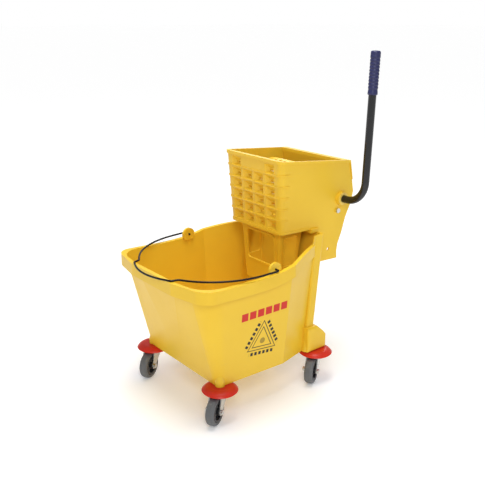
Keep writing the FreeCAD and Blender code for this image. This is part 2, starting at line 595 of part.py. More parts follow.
def drain_basket():
    """Open basket below the floor that carries water down into the bucket."""
    rear = HOOK_Y - 22.5
    front = rear - BASKET_FRONT_TO_REAR
    half = BASKET_WIDTH / 2
    z_low, z_high = REAR_RIM_Z - BASKET_DEPTH + 9, WRINGER_BASE_Z
    low = symmetric([(half - 8, front + 11, 8), (half - 8, rear - 20, 8)])
    high = symmetric([(half, front, 8), (half, rear, 8)])
    outside = loft(low, high, z_low, z_high)
    inside = loft(grown(low, -BASKET_WALL), grown(high, -BASKET_WALL), z_low + 4, z_high + 1)
    basket = outside.cut(inside)
    # one framed window in the front wall and one in each side
    lintel, sill = WRINGER_BASE_Z - 19, WRINGER_BASE_Z - 107

    def frame_and_hole(across, rise, thickness):
        panel = box(-across / 2, across / 2, 0, thickness, sill - rise, lintel + rise)
        return panel.makeFillet(9 + rise, [e for e in panel.Edges if e.BoundBox.YLength > thickness - 1])

    shell = loft(grown(low, 1.8), grown(high, 1.8), z_low, z_high).cut(inside)
    for across, x, y, turn in ((BASKET_WIDTH - 52, 0, front - 10, 0), (52, 0, 0, 90)):
        frame = frame_and_hole(across + 12, 6, 60)
        hole = frame_and_hole(across, 0, 60)
        if turn:
            for angle in (90, -90):
                offset = V(half - 30 if angle > 0 else 30 - half, (front + rear) / 2 - 3, 0)
                side_frame = turned(frame, V(0, 0, 0), Z_AXIS, -angle)
                side_hole = turned(hole, V(0, 0, 0), Z_AXIS, -angle)
                side_frame.translate(offset)
                side_hole.translate(offset)
                basket = basket.fuse(side_frame.common(shell)).cut(side_hole)
        else:
            frame.translate(V(x, y, 0))
            hole.translate(V(x, y, 0))
            basket = basket.fuse(frame.common(shell)).cut(hole)
    for x in (-45, -15, 15, 45):
        for y in (0.25, 0.5, 0.75):
            basket = basket.cut(rod(V(x, front + 6 + (rear - front - 20) * y, z_low - 1), Z_AXIS, 5, 8))
    return basket.removeSplitter()


def press_plate():
    """Ribbed plate with rounded ends that slides forward in the box."""
    half = PLATE_WIDTH / 2
    y0 = PLATE_REST_Y
    z0 = WRINGER_BASE_Z + WRINGER_FLOOR + 3
    z1 = z0 + PLATE_HEIGHT
    radius = PLATE_THICKNESS / 2
    inner = half - radius
    plate = box(-inner, inner, y0 + 5, y0 + 11, z0, z1)
    for side in (-1, 1):
        plate = plate.fuse(rod(V(side * inner, y0 + radius, z0), Z_AXIS, radius, z1 - z0))
    rib_count = 9
    for i in range(rib_count):
        x = (inner - 12) * (2 * i / (rib_count - 1) - 1)
        plate = plate.fuse(box(x - 3, x + 3, y0, y0 + 6, z0, z1))
    for share in (0, 0.35, 0.76, 0.968):
        z = z0 + share * PLATE_HEIGHT
        plate = plate.fuse(box(-inner, inner, y0 + 10, y0 + PLATE_THICKNESS, z, z + 5))
    rack_z = SHAFT_Z + GEAR_RADIUS
    for side in (-1, 1):
        x = side * GEAR_X
        plate = plate.fuse(box(x - 12, x + 12, y0 + 10, y0 + PLATE_THICKNESS, rack_z - 16, rack_z + 21))
    return plate.removeSplitter()


def tooth_outline(centre, half_root, half_tip, root, tip):
    """Straight-sided tooth as (along, height) points about a centre."""
    return [(centre - half_root, root), (centre - half_tip, tip), (centre + half_tip, tip),
            (centre + half_root, root)]


ADDENDUM = GEAR_MODULE * 0.9
DEDENDUM = GEAR_MODULE * 1.2
PITCH = math.pi * GEAR_MODULE
FLANK = math.tan(math.radians(20))
TOOTH_HALF = PITCH / 4 - GEAR_BACKLASH / 2


def rack(side):
    """Toothed bar fixed to the back of the press plate, teeth down onto its pinion."""
    start = PLATE_REST_Y + PLATE_THICKNESS
    pitch_z = SHAFT_Z + GEAR_RADIUS
    end = SHAFT_Y + STROKE + 6
    root_z = pitch_z + DEDENDUM
    tip_z = pitch_z - ADDENDUM
    points = [(end, root_z + 9), (start, root_z + 9), (start, root_z)]
    index = math.ceil((start + PITCH / 2 - SHAFT_Y) / PITCH)
    while SHAFT_Y + (index + 0.5) * PITCH < end:
        centre = SHAFT_Y + index * PITCH
        half_root = TOOTH_HALF + DEDENDUM * FLANK
        half_tip = TOOTH_HALF - ADDENDUM * FLANK
        points += tooth_outline(centre, half_root, half_tip, root_z, tip_z)
        index += 1
    points.append((end, root_z))
    bar = side_prism(points, GEAR_WIDTH / 2)
    bar.translate(V(side * GEAR_X, 0, 0))
    return bar


def pinion(side):
    """Spur gear pinned to the lever shaft, with a tooth gap facing up at rest."""
    tip = GEAR_RADIUS + ADDENDUM
    root = GEAR_RADIUS - DEDENDUM
    base = GEAR_RADIUS * math.cos(math.radians(20))

    def involute(radius):
        angle = math.acos(min(1.0, base / radius))
        return math.tan(angle) - angle

    half_pitch_angle = TOOTH_HALF / GEAR_RADIUS
    outline = []
    for i in range(GEAR_TEETH):
        centre = math.pi / 2 + (i + 0.5) * 2 * math.pi / GEAR_TEETH
        flank = []
        for radius in (root, base, GEAR_RADIUS, tip):
            half = half_pitch_angle + involute(GEAR_RADIUS) - involute(radius)
            flank.append((radius, half))
        for radius, half in flank:
            outline.append((radius, centre - half))
        for radius, half in reversed(flank):
            outline.append((radius, centre + half))
    corners = [V(0, radius * math.cos(angle), radius * math.sin(angle)) for radius, angle in outline]
    gear = Part.Face(Part.makePolygon(corners + corners[:1])).extrude(V(GEAR_WIDTH, 0, 0))
    gear.translate(V(-GEAR_WIDTH / 2, 0, 0))
    gear = gear.fuse(rod(V(-GEAR_WIDTH / 2 - 7, 0, 0), X_AXIS, 18, GEAR_WIDTH + 14))
    gear = gear.cut(rod(V(-40, 0, 0), X_AXIS, TUBE_RADIUS + PRESSED_FIT, 80))
    pin_hole = rod(V(11, 0, -30), Z_AXIS, PIN_RADIUS + PRESSED_FIT, 60)
    gear = gear.cut(turned(pin_hole, V(0, 0, 0), X_AXIS, -LEVER_LEAN))
    if side < 0:
        gear = mirrored(gear)
    gear.translate(V(side * GEAR_X, SHAFT_Y, SHAFT_Z))
    return gear.removeSplitter()


def lever_tube():
    """Bent tube: cross shaft through the wringer, a quarter bend and a long upright."""
    bend = BEND_RADIUS
    y, z = SHAFT_Y, SHAFT_Z
    start = V(-SIDE_PLATE_X - 24, y, z)
    knee = V(LEVER_REACH - bend, y, z)
    centre = V(LEVER_REACH - bend, y, z + bend)
    middle = centre + V(bend * math.sin(math.pi / 4), 0, -bend * math.cos(math.pi / 4))
    rise = V(LEVER_REACH, y, z + bend)
    path = Part.Wire([Part.makeLine(start, knee), Part.Arc(knee, middle, rise).toShape(),
                      Part.makeLine(rise, V(LEVER_REACH, y, LEVER_TOP_Z - 6))])
    tube = pipe(path, TUBE_RADIUS).cut(pipe(path, TUBE_RADIUS - TUBE_WALL))
    for side in (-1, 1):
        tube = tube.cut(rod(V(side * (GEAR_X + 11), y, z - 30), Z_AXIS, PIN_RADIUS + PRESSED_FIT, 60))
    return turned(tube.removeSplitter(), V(0, y, z), X_AXIS, -LEVER_LEAN)


def lever_grip():
    """Ribbed sleeve with a closed top."""
    top = V(LEVER_REACH, SHAFT_Y, LEVER_TOP_Z)
    bottom = top - V(0, 0, GRIP_LENGTH)
    sleeve = rod(bottom, Z_AXIS, GRIP_RADIUS, GRIP_LENGTH)
    sleeve = sleeve.makeFillet(3, [e for e in sleeve.Edges if e.BoundBox.ZLength < 0.1])
    groove_count = 10
    for i in range(groove_count):
        z = LEVER_TOP_Z - 21 - 8.6 * i
        sleeve = sleeve.cut(Part.makeTorus(GRIP_RADIUS + 1.4, 2.6, V(LEVER_REACH, SHAFT_Y, z)))
    sleeve = sleeve.cut(rod(bottom - V(0, 0, 1), Z_AXIS, TUBE_RADIUS + PRESSED_FIT, GRIP_LENGTH - 5))
    return turned(sleeve, V(0, SHAFT_Y, SHAFT_Z), X_AXIS, -LEVER_LEAN)


def shaft_bushing(side):
    """Flanged sleeve that carries the shaft in a side plate."""
    face = SIDE_PLATE_X + 14
    sleeve = rod(V(SIDE_PLATE_X + 1, SHAFT_Y, SHAFT_Z), X_AXIS, BUSHING_RADIUS - PRESSED_FIT, 13)
    sleeve = sleeve.fuse(rod(V(face, SHAFT_Y, SHAFT_Z), X_AXIS, BUSHING_RADIUS + 3.5, 2.5))
    bore = rod(V(0, SHAFT_Y, SHAFT_Z), X_AXIS, TUBE_RADIUS + RUNNING_FIT, 2 * SIDE_PLATE_X)
    sleeve = sleeve.cut(bore).removeSplitter()
    return sleeve if side > 0 else mirrored(sleeve)


def shaft_collar():
    """Collar pinned on the shaft's free end outside the left bushing."""
    start = V(-SIDE_PLATE_X - 23, SHAFT_Y, SHAFT_Z)
    return ring(start, X_AXIS, TUBE_RADIUS + 5.5, TUBE_RADIUS + PRESSED_FIT, 6)


def gear_pins():
    """Cross pins that lock the pinions to the shaft."""
    pins = [rod(V(side * (GEAR_X + 11), SHAFT_Y, SHAFT_Z - 18.5), Z_AXIS, PIN_RADIUS, 37)
            for side in (-1, 1)]
    return turned(Part.makeCompound(pins), V(0, SHAFT_Y, SHAFT_Z), X_AXIS, -LEVER_LEAN)


def return_springs():
    """Torsion springs, as sleeves, round the shaft between each pinion and side plate."""
    start = V(GEAR_X + GEAR_WIDTH / 2 + 8, SHAFT_Y, SHAFT_Z)
    return both_sides(ring(start, X_AXIS, TUBE_RADIUS + 3.6, TUBE_RADIUS + 0.6, SPRING_LENGTH))


def stop_pad_x():
    """Outer face of the pads that the stop bolts' heads bear on."""
    return side_x(STOP_Y, STOP_Z) + 1.5


def stop_bolt(side):
    """Hex bolt below the shaft that stops the lever in its open position."""
    face = stop_pad_x()
    length = STOP_PAD + 8
    bolt = rod(V(face - length, STOP_Y, STOP_Z), X_AXIS, BOLT_RADIUS, length)
    bolt = bolt.fuse(hexagon(V(face, STOP_Y, STOP_Z), X_AXIS, NUT_WIDTH, 5))
    return bolt if side > 0 else mirrored(bolt)


def stop_nut(side):
    """Nut on the inner end of a stop bolt."""
    start = V(stop_pad_x() - STOP_PAD - 6, STOP_Y, STOP_Z)
    bore = rod(start - V(2, 0, 0), X_AXIS, BOLT_RADIUS + PRESSED_FIT, 10)
    nut = hexagon(start, X_AXIS, NUT_WIDTH, 6).cut(bore)
    return nut if side > 0 else mirrored(nut)


# ---------------------------------------------------------------- assembly
PARTS["bucket_tub"] = bucket_tub()
PARTS["bail_handle"] = bail_handle()
add_casters()
PARTS["wringer_housing"] = wringer_housing()
PARTS["drain_basket"] = drain_basket()
PARTS["press_plate"] = press_plate()
for label, sign in (("left", -1), ("right", 1)):
    PARTS[f"press_rack_{label}"] = rack(sign)
    PARTS[f"pinion_{label}"] = pinion(sign)
    PARTS[f"shaft_bushing_{label}"] = shaft_bushing(sign)
    PARTS[f"stop_bolt_{label}"] = stop_bolt(sign)
    PARTS[f"stop_nut_{label}"] = stop_nut(sign)
PARTS["lever_tube"] = lever_tube()
PARTS["lever_grip"] = lever_grip()
PARTS["shaft_collar"] = shaft_collar()
PARTS["gear_pins"] = gear_pins()
PARTS["return_springs"] = return_springs()

os.makedirs("parts", exist_ok=True)
for name, shape in PARTS.items():
    shape.exportStep(f"parts/{name}.step")
    size = shape.BoundBox
    print(f"{name}: {len(shape.Solids)} solid, {shape.Volume / 1000:.1f} cm3, valid {shape.isValid()}, "
          f"x {size.XMin:.0f}..{size.XMax:.0f} y {size.YMin:.0f}..{size.YMax:.0f} "
          f"z {size.ZMin:.0f}..{size.ZMax:.0f}")
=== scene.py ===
# %% [markdown]
# # A mop bucket with a side-press wringer
#
# This lesson dresses a finished engineering model of a wheeled mop bucket. The
# engineering model already holds every real part at its real size: the moulded
# bucket, the casters, the wringing box that hangs on the rear wall, and the
# lever. Here those parts get their finishes, and the parts whose surface shows
# fine shape, such as tyres, the hand grip and the springs, are modelled again.

# %% Load the frame
import json
import math

import bmesh
import bpy
from mathutils import Matrix, Vector


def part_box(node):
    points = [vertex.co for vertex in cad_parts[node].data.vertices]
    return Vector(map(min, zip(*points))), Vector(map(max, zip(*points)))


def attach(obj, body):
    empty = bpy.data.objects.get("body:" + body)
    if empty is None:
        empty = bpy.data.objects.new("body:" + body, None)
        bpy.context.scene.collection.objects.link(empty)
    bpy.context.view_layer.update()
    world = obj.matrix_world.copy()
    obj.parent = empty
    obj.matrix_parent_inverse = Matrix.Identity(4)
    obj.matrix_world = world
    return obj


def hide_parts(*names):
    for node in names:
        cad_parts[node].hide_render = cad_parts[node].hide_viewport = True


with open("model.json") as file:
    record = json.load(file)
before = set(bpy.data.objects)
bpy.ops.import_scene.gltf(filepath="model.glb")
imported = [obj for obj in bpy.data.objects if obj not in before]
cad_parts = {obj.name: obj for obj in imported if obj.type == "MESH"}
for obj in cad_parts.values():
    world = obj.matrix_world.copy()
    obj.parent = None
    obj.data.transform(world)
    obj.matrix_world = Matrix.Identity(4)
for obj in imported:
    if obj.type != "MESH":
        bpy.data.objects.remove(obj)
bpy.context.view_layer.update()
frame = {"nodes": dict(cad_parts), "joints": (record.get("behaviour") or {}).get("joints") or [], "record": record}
nodes = frame["nodes"]
slot_of = {row["node"]: row["material_slot"] for row in frame["record"]["subparts"]}
joint_of = {joint["name"]: joint for joint in frame["joints"]}

# %% [markdown]
# ## Camera
#
# A catalogue view of a bucket like this is taken from chest height, a little
# more from the side than from the front, with a slightly long lens so that the
# upright lines stay nearly parallel. The camera could track an empty, but three
# plain numbers for its place and two for its turn are easier to read.


# %% Camera
def put(name, data):
    """A new object in the scene for a camera, a lamp or a mesh."""
    item = bpy.data.objects.new(name, data)
    bpy.context.scene.collection.objects.link(item)
    return item


look_down = 18.18
heading = 51.12
camera_data = bpy.data.cameras.new("camera")
camera_data.lens = 51.5
camera_data.sensor_width = 36.0
camera = put("camera", camera_data)
camera.location = (1.4328, -1.1233, 1.0039)
camera.rotation_euler = (math.radians(90.0 - look_down), 0.0, math.radians(heading))
bpy.context.scene.camera = camera
print("camera at", [round(c, 3) for c in camera.location])

# %% [markdown]
# ## Floor
#
# A white sweep of paper carries the bucket in a catalogue studio. A curved
# backdrop could be modelled, but a wide flat floor that glows a little more
# with distance melts into a white surround and leaves the soft shadow under
# the casters.


# %% Floor
def ramp(tree, value, low, high, out_low=0.0, out_high=1.0):
    """A clamped Map Range node on a value."""
    node = tree.nodes.new("ShaderNodeMapRange")
    node.inputs["From Min"].default_value = low
    node.inputs["From Max"].default_value = high
    node.inputs["To Min"].default_value = out_low
    node.inputs["To Max"].default_value = out_high
    tree.links.new(value, node.inputs["Value"])
    return node.outputs["Result"]


white = (1.0, 1.0, 1.0, 1.0)
floor_half = 60.0
near_the_casters = 0.7
far_away = 3.5

floor_data = bpy.data.meshes.new("studio_floor")
bm = bmesh.new()
bmesh.ops.create_grid(bm, x_segments=1, y_segments=1, size=floor_half)
bm.to_mesh(floor_data)
bm.free()
put("studio_floor", floor_data)

floor_material = bpy.data.materials.new("studio_floor")
floor_material.use_nodes = True
floor_tree = floor_material.node_tree
floor_shader = floor_tree.nodes["Principled BSDF"]
floor_shader.inputs["Base Color"].default_value = (0.95, 0.95, 0.95, 1.0)
floor_shader.inputs["Emission Color"].default_value = white
floor_shader.inputs["Roughness"].default_value = 0.6
away = floor_tree.nodes.new("ShaderNodeVectorMath")
away.operation = "LENGTH"
floor_tree.links.new(floor_tree.nodes.new("ShaderNodeTexCoord").outputs["Object"], away.inputs[0])
glow = ramp(floor_tree, away.outputs["Value"], near_the_casters, far_away, 0.18, 0.62)
floor_tree.links.new(glow, floor_shader.inputs["Emission Strength"])
floor_data.materials.append(floor_material)
print("floor laid", 2 * floor_half, "m across")

# %% [markdown]
# ## Light
#
# Soft boxes leave no hard edge on glossy plastic, where bare lamps would leave
# bright dots. The key box stands behind the viewer and above, so the corner
# that points at the viewer is brightest and the walls fall off to both sides. A
# large box overhead throws the soft shade under the rim, and a weak one behind
# lifts the far edges. The surround is white to look at, but weaker as a light.


# %% Soft boxes
def soft_box(name, place, aim, side, watts):
    """A square area lamp at a place, turned towards a point."""
    lamp = bpy.data.lights.new(name, "AREA")
    lamp.shape = "RECTANGLE"
    lamp.size = side
    lamp.size_y = side
    lamp.energy = watts
    holder = put(name, lamp)
    holder.location = place
    holder.rotation_euler = (Vector(aim) - Vector(place)).to_track_quat("-Z", "Y").to_euler()


soft_box("overhead_box", (0.0, -0.1, 2.5), (0.0, -0.05, 0.3), 1.2, 41.0)
soft_box("key_box", (1.9, -1.35, 2.0), (0.0, 0.0, 0.3), 0.9, 22.0)
soft_box("rear_box", (-1.6, 2.0, 1.8), (0.0, 0.0, 0.5), 1.2, 12.0)
print("three soft boxes")

# %% Surround
world = bpy.data.worlds.new("studio")
world.use_nodes = True
surround = world.node_tree
fill = surround.nodes["Background"]
fill.inputs["Color"].default_value = white
fill.inputs["Strength"].default_value = 0.39
backdrop = surround.nodes.new("ShaderNodeBackground")
backdrop.inputs["Color"].default_value = white
backdrop.inputs["Strength"].default_value = 1.0
choose = surround.nodes.new("ShaderNodeMixShader")
seen = surround.nodes.new("ShaderNodeLightPath").outputs["Is Camera Ray"]
surround.links.new(seen, choose.inputs["Fac"])
surround.links.new(fill.outputs[0], choose.inputs[1])
surround.links.new(backdrop.outputs[0], choose.inputs[2])
surround.links.new(choose.outputs[0], surround.nodes["World Output"].inputs["Surface"])
bpy.context.scene.world = world
bpy.context.scene.view_settings.view_transform = "Standard"
print("white surround")

# %% [markdown]
# ## Shared effects
#
# Two effects serve many finishes. Moulding grain is the fine leathery texture
# that a mould leaves, with slight clouding of the pigment. Handling marks are
# the short rubs and spots of dirt that collect on any cleaning tool. They could
# be copied into each material, but a node group with named sockets is built
# once, and every finish sets its own values on it.


# %% Group helpers
def new_group(name, inputs, outputs):
    """A shader node group with named sockets, and its two end nodes."""
    group = bpy.data.node_groups.new(name, "ShaderNodeTree")
    for label, kind, value in inputs:
        socket = group.interface.new_socket(label, in_out="INPUT", socket_type=kind)
        socket.default_value = value
    for label, kind in outputs:
        group.interface.new_socket(label, in_out="OUTPUT", socket_type=kind)
    return group, group.nodes.new("NodeGroupInput"), group.nodes.new("NodeGroupOutput")


def noise(tree, vector, scale, detail, rough):
    """A noise texture node read at a vector."""
    node = tree.nodes.new("ShaderNodeTexNoise")
    node.inputs["Scale"].default_value = scale
    node.inputs["Detail"].default_value = detail
    node.inputs["Roughness"].default_value = rough
    tree.links.new(vector, node.inputs["Vector"])
    return node


def maths(tree, kind, first, second=None):
    """A Math node; either input may be a socket or a number."""
    node = tree.nodes.new("ShaderNodeMath")
    node.operation = kind
    for slot, value in enumerate((first, second)):
        if value is None:
            continue
        if isinstance(value, (int, float)):
            node.inputs[slot].default_value = value
        else:
            tree.links.new(value, node.inputs[slot])
    return node.outputs[0]


def mixed(tree, factor, first, second):
    """A colour Mix node; colours may be sockets or 4-value tuples."""
    node = tree.nodes.new("ShaderNodeMix")
    node.data_type = "RGBA"
    for key, value in ((0, factor), (6, first), (7, second)):
        if isinstance(value, (int, float, tuple)):
            node.inputs[key].default_value = value
        else:
            tree.links.new(value, node.inputs[key])
    return node.outputs[2]


# %% Moulding grain
grain, grain_in, grain_out = new_group(
    "moulding_grain",
    [("Color", "NodeSocketColor", (0.8, 0.6, 0.05, 1.0)),
     ("Deep Color", "NodeSocketColor", (0.7, 0.4, 0.02, 1.0)),
     ("Clouding", "NodeSocketFloat", 0.3),
     ("Grain Scale", "NodeSocketFloat", 900.0),
     ("Gloss", "NodeSocketFloat", 0.3)],
    [("Color", "NodeSocketColor"), ("Roughness", "NodeSocketFloat"), ("Height", "NodeSocketFloat")])
place = grain.nodes.new("ShaderNodeTexCoord").outputs["Object"]
cloud = noise(grain, place, scale=7.0, detail=4.0, rough=0.6).outputs["Fac"]
wave = noise(grain, place, scale=26.0, detail=2.0, rough=0.5).outputs["Fac"]
pores = noise(grain, place, scale=900.0, detail=2.0, rough=0.5)
grain.links.new(grain_in.outputs["Grain Scale"], pores.inputs["Scale"])
pore = pores.outputs["Fac"]
clouded = maths(grain, "MULTIPLY", ramp(grain, cloud, 0.35, 0.7), grain_in.outputs["Clouding"])
tinted = mixed(grain, clouded, grain_in.outputs["Color"], grain_in.outputs["Deep Color"])
uneven = maths(grain, "ADD", grain_in.outputs["Gloss"], ramp(grain, cloud, 0.3, 0.75, -0.04, 0.06))
dulled = maths(grain, "ADD", uneven, ramp(grain, pore, 0.3, 0.7, -0.02, 0.02))
height = maths(grain, "ADD", maths(grain, "MULTIPLY", pore, 0.35), wave)
for label, value in (("Color", tinted), ("Roughness", dulled), ("Height", height)):
    grain.links.new(value, grain_out.inputs[label])
print("group", grain.name)

# %% Handling marks
marks, marks_in, marks_out = new_group(
    "handling_marks",
    [("Color", "NodeSocketColor", (0.8, 0.6, 0.05, 1.0)),
     ("Mark Color", "NodeSocketColor", (0.3, 0.25, 0.15, 1.0)),
     ("Amount", "NodeSocketFloat", 0.2),
     ("Size", "NodeSocketFloat", 60.0),
     ("Roughness", "NodeSocketFloat", 0.3)],
    [("Color", "NodeSocketColor"), ("Roughness", "NodeSocketFloat")])
place = marks.nodes.new("ShaderNodeTexCoord").outputs["Object"]
stretch = marks.nodes.new("ShaderNodeMapping")
stretch.inputs["Scale"].default_value = (1.0, 0.35, 1.6)
stretch.inputs["Rotation"].default_value = (0.5, 0.2, 0.7)
marks.links.new(place, stretch.inputs["Vector"])
rub = noise(marks, stretch.outputs["Vector"], scale=60.0, detail=5.0, rough=0.7)
marks.links.new(marks_in.outputs["Size"], rub.inputs["Scale"])
rubbed = ramp(marks, rub.outputs["Fac"], 0.56, 0.74)
touched = ramp(marks, noise(marks, place, scale=5.0, detail=2.0, rough=0.5).outputs["Fac"], 0.42, 0.66)
mask = maths(marks, "MULTIPLY", maths(marks, "MULTIPLY", rubbed, touched), marks_in.outputs["Amount"])
marked = mixed(marks, mask, marks_in.outputs["Color"], marks_in.outputs["Mark Color"])
dulled = maths(marks, "ADD", marks_in.outputs["Roughness"], maths(marks, "MULTIPLY", mask, 0.4))
for label, value in (("Color", marked), ("Roughness", dulled)):
    marks.links.new(value, marks_out.inputs[label])
print("group", marks.name)

# %% [markdown]
# ## Finishes
#
# Almost every finish here is a moulded plastic or a coated metal: the bucket
# and wringer in yellow, the bumpers in red, grey rubber, black tube, blue grip
# and zinc-plated steel. Each could be its own tree of nodes, but one small
# function places the two groups and a bump in a fresh material, so a finish
# only says its own colours, gloss, grain and marks.


# %% One finish
finishes = {}


def place_group(tree, group, values):
    """A group node in a material, with its own socket values."""
    node = tree.nodes.new("ShaderNodeGroup")
    node.node_tree = group
    for label, value in values.items():
        node.inputs[label].default_value = value
    return node


def finish(name, color, deep, clouding, grain_scale, gloss, bump,
       mark=(0.3, 0.26, 0.18), amount=0.15, **plain):
    """Add a finish with moulding grain, handling marks and a bump; plain sets shader sockets."""
    material = bpy.data.materials.new(name)
    material.use_nodes = True
    tree = material.node_tree
    shader = tree.nodes["Principled BSDF"]
    grained = place_group(tree, grain, {"Color": (*color, 1.0), "Deep Color": (*deep, 1.0),
                                        "Clouding": clouding, "Grain Scale": grain_scale, "Gloss": gloss})
    handled = place_group(tree, marks, {"Mark Color": (*mark, 1.0), "Amount": amount})
    for label in ("Color", "Roughness"):
        tree.links.new(grained.outputs[label], handled.inputs[label])
    tree.links.new(handled.outputs["Color"], shader.inputs["Base Color"])
    tree.links.new(handled.outputs["Roughness"], shader.inputs["Roughness"])
    relief = tree.nodes.new("ShaderNodeBump")
    relief.inputs["Strength"].default_value = bump
    relief.inputs["Distance"].default_value = 0.0004
    tree.links.new(grained.outputs["Height"], relief.inputs["Height"])
    tree.links.new(relief.outputs["Normal"], shader.inputs["Normal"])
    for label, value in plain.items():
        shader.inputs[label].default_value = value
    finishes[name] = material


# %% Plastics and rubber
soft_shine = {"Specular IOR Level": 0.3}
finish("yellow_plastic", (0.85, 0.555, 0.034), (0.79, 0.49, 0.026), clouding=0.45, grain_scale=700.0,
       gloss=0.34, bump=0.25, mark=(0.62, 0.44, 0.12), amount=0.18, **soft_shine)
finish("red_plastic", (0.66, 0.032, 0.014), (0.55, 0.02, 0.01), clouding=0.5, grain_scale=700.0,
       gloss=0.3, bump=0.2, mark=(0.4, 0.1, 0.08), amount=0.25, **soft_shine)
finish("grey_rubber", (0.125, 0.13, 0.135), (0.09, 0.093, 0.097), clouding=0.6, grain_scale=500.0,
       gloss=0.55, bump=0.6, mark=(0.34, 0.33, 0.31), amount=0.5)
finish("black_plastic", (0.018, 0.018, 0.02), (0.03, 0.03, 0.032), clouding=0.5, grain_scale=600.0,
       gloss=0.38, bump=0.3, mark=(0.12, 0.12, 0.12), amount=0.4)
finish("gear_nylon", (0.025, 0.025, 0.028), (0.04, 0.04, 0.042), clouding=0.4, grain_scale=500.0,
       gloss=0.45, bump=0.3, mark=(0.12, 0.12, 0.12), amount=0.3)
finish("bushing_plastic", (0.86, 0.60, 0.10), (0.80, 0.52, 0.07), clouding=0.4, grain_scale=700.0,
       gloss=0.3, bump=0.2)
finish("blue_grip", (0.015, 0.018, 0.088), (0.011, 0.013, 0.068), clouding=0.5, grain_scale=450.0,
       gloss=0.42, bump=0.35, mark=(0.08, 0.1, 0.25), amount=0.3)
print(len(finishes), "plastics and rubbers")

# %% Coated and plated metal
finish("black_enamel", (0.006, 0.006, 0.007), (0.011, 0.011, 0.012), clouding=0.3, grain_scale=250.0,
       gloss=0.2, bump=0.1, mark=(0.1, 0.1, 0.1), amount=0.2)
finish("bail_enamel", (0.004, 0.004, 0.005), (0.008, 0.008, 0.009), clouding=0.3, grain_scale=250.0,
       gloss=0.4, bump=0.1, mark=(0.10, 0.09, 0.08), amount=0.2, **{"Specular IOR Level": 0.25})
finish("zinc_steel", (0.66, 0.66, 0.64), (0.52, 0.52, 0.50), clouding=0.7, grain_scale=300.0,
       gloss=0.28, bump=0.15, mark=(0.30, 0.29, 0.26), amount=0.4, **{"Metallic": 1.0})


def dress(mesh, material):
    """Give a mesh one material and no other."""
    mesh.materials.clear()
    mesh.materials.append(material)


for node, item in nodes.items():
    dress(item.data, finishes[slot_of[node]])
print(len(finishes), "finishes on", len(nodes), "parts")

# %% [markdown]
# ## Printed side panel
#
# The right-hand wall carries a screen-printed panel in red and black ink. Ink
# has no thickness worth modelling, and a picture of it would blur close to, so
# it is painted by a mask in the bucket's own finish. The panel here is a plain
# one: a broken red bar, two nested triangles with a spot inside, and a row of
# short strokes along each side. The masks are signed distances in the wall's
# own Y and Z, in metres, so the print stays sharp at any size.

# %% Panel place
panel, _, panel_out = new_group(
    "printed_panel", [], [("Red", "NodeSocketFloat"), ("Black", "NodeSocketFloat")])
apart = panel.nodes.new("ShaderNodeSeparateXYZ")
panel.links.new(panel.nodes.new("ShaderNodeTexCoord").outputs["Object"], apart.inputs[0])
across, along, up = apart.outputs
facing = panel.nodes.new("ShaderNodeSeparateXYZ")
panel.links.new(panel.nodes.new("ShaderNodeNewGeometry").outputs["Normal"], facing.inputs[0])
faces_right = ramp(panel, facing.outputs[0], 0.4, 0.5)
on_right_wall = ramp(panel, across, 0.155, 0.156)
outside = maths(panel, "MULTIPLY", faces_right, on_right_wall)
print("panel sits on the outside of the right wall")


# %% Panel masks
ink_edge = 0.0004
stroke_edge = 0.03


def both(first, second):
    """One where two masks are both one."""
    return maths(panel, "MULTIPLY", first, second)


def either(first, second):
    """One where either of two masks is one."""
    return maths(panel, "MAXIMUM", first, second)


def edge_distance(start, end):
    """Distance outside the line from start to end, in the wall's Y and Z, and the run along it."""
    run = (Vector(end) - Vector(start)).normalized()
    out = Vector((run.y, -run.x))
    offsets = []
    for way in (out, run):
        level = maths(panel, "MULTIPLY", along, way.x)
        rise = maths(panel, "MULTIPLY", up, way.y)
        offsets.append(maths(panel, "SUBTRACT", maths(panel, "ADD", level, rise), way.dot(Vector(start))))
    return offsets


def within(value, low, high):
    """One between two limits, with soft edges."""
    half = (high - low) / 2
    off = maths(panel, "ABSOLUTE", maths(panel, "SUBTRACT", value, (low + high) / 2))
    return ramp(panel, off, half - ink_edge, half + ink_edge, 1.0, 0.0)


def strokes(value, pitch, share):
    """One on the printed part of each pitch along a run."""
    phase = maths(panel, "FRACT", maths(panel, "DIVIDE", value, pitch))
    return ramp(panel, phase, share - stroke_edge, share + stroke_edge, 1.0, 0.0)


# %% Nested triangles and their strokes
line_width = 0.0022
inner_line = 0.0086
end_margin = 0.008
corners = [(-0.097, 0.171), (0.000, 0.161), (-0.045, 0.252)]
sides = [(start, end, *edge_distance(start, end)) for start, end in zip(corners, corners[1:] + corners[:1])]
spread = either(either(sides[0][2], sides[1][2]), sides[2][2])
ink = either(within(spread, -line_width, 0.0), within(spread, -inner_line - line_width, -inner_line))
for start, end, beyond, run in sides:
    length = (Vector(end) - Vector(start)).length
    row = both(within(beyond, 0.005, 0.0145), within(run, end_margin, length - end_margin))
    ink = either(ink, both(row, strokes(run, 0.0135, 0.62)))
print("two triangles and", len(sides), "rows of strokes")

# %% Spot and bar
spot_along, spot_up = -0.047, 0.192
spot_radius = 0.0085
spot_strength = 0.55
bar_start, bar_end = -0.122, 0.034
square_along = maths(panel, "POWER", maths(panel, "SUBTRACT", along, spot_along), 2.0)
square_up = maths(panel, "POWER", maths(panel, "SUBTRACT", up, spot_up), 2.0)
from_spot = maths(panel, "SQRT", maths(panel, "ADD", square_along, square_up))
spot = maths(panel, "MULTIPLY", within(from_spot, -spot_radius, spot_radius), spot_strength)
ink = either(ink, spot)
bar = both(within(up, 0.266, 0.288), within(along, bar_start, bar_end))
bar = both(bar, strokes(maths(panel, "SUBTRACT", along, bar_start), 0.0262, 0.80))
panel.links.new(both(ink, outside), panel_out.inputs["Black"])
panel.links.new(both(bar, outside), panel_out.inputs["Red"])
print("group", panel.name)

